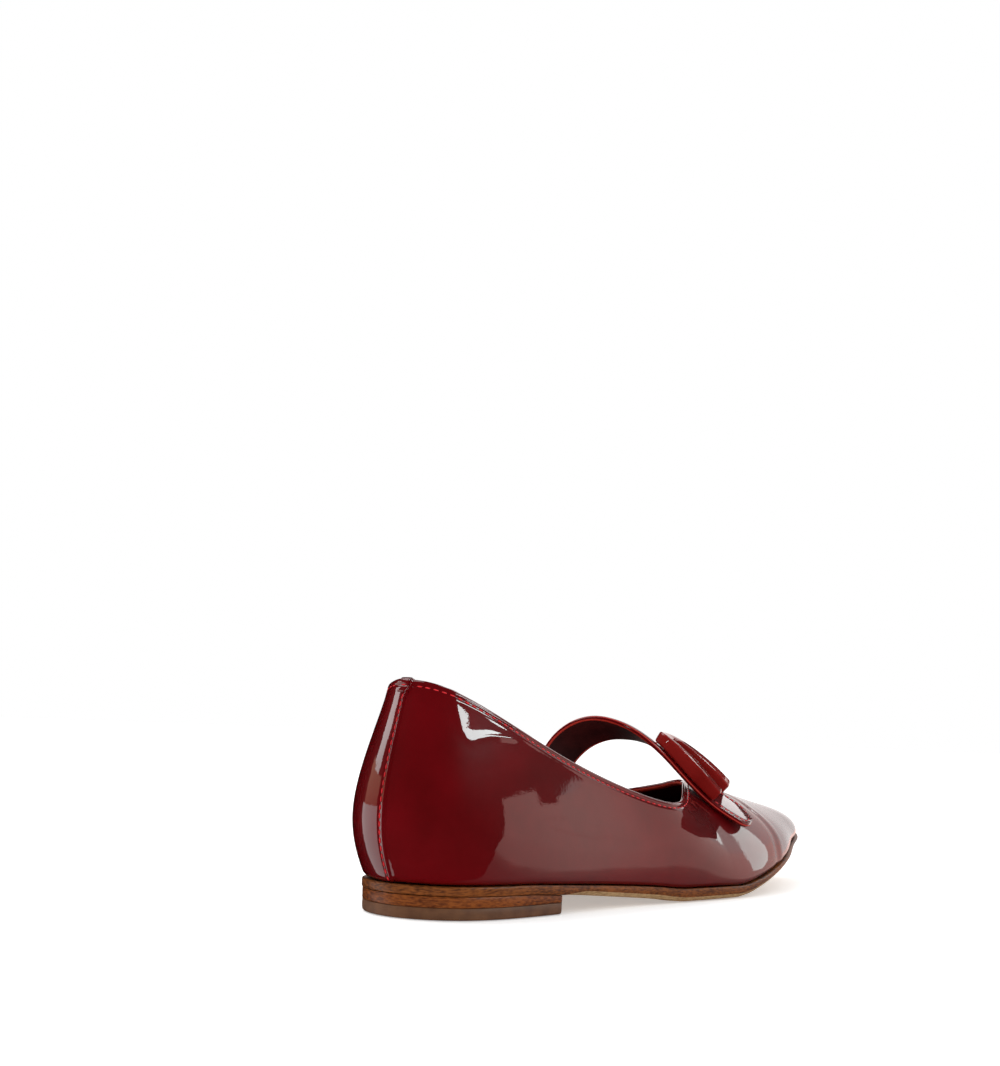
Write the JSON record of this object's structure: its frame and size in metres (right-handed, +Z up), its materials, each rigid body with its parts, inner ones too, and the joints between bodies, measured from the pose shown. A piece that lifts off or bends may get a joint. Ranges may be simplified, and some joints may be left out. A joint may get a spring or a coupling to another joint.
{
  "type": "mary jane shoe",
  "caption": "Flat pointed mary jane shoe for the right foot: moulded upper, low stacked heel, and an instep strap with a leather-covered buckle.",
  "frame": {"origin": "middle of the heel's flat foot, on the floor", "axes": "+Z up, +Y along the foot to the toe, +X towards the outer (lateral) side of this right shoe"},
  "size_m": [0.0741, 0.2448, 0.0703],
  "materials": {
    "patent": "cherry red patent leather, mirror gloss",
    "sock_leather": "matt dark red lining leather",
    "sole_leather": "waxed tan sole leather with stained edge",
    "stacked_leather": "stained and polished stacked leather edge",
    "rubber": "matt grey-brown rubber"
  },
  "bodies": {
    "root": {"top_piece": "rubber", "heel_lift": "stacked_leather", "outsole": "sole_leather", "insole": "sock_leather", "upper": "patent", "strap": "patent", "buckle": "patent"}
  },
  "joints": []
}
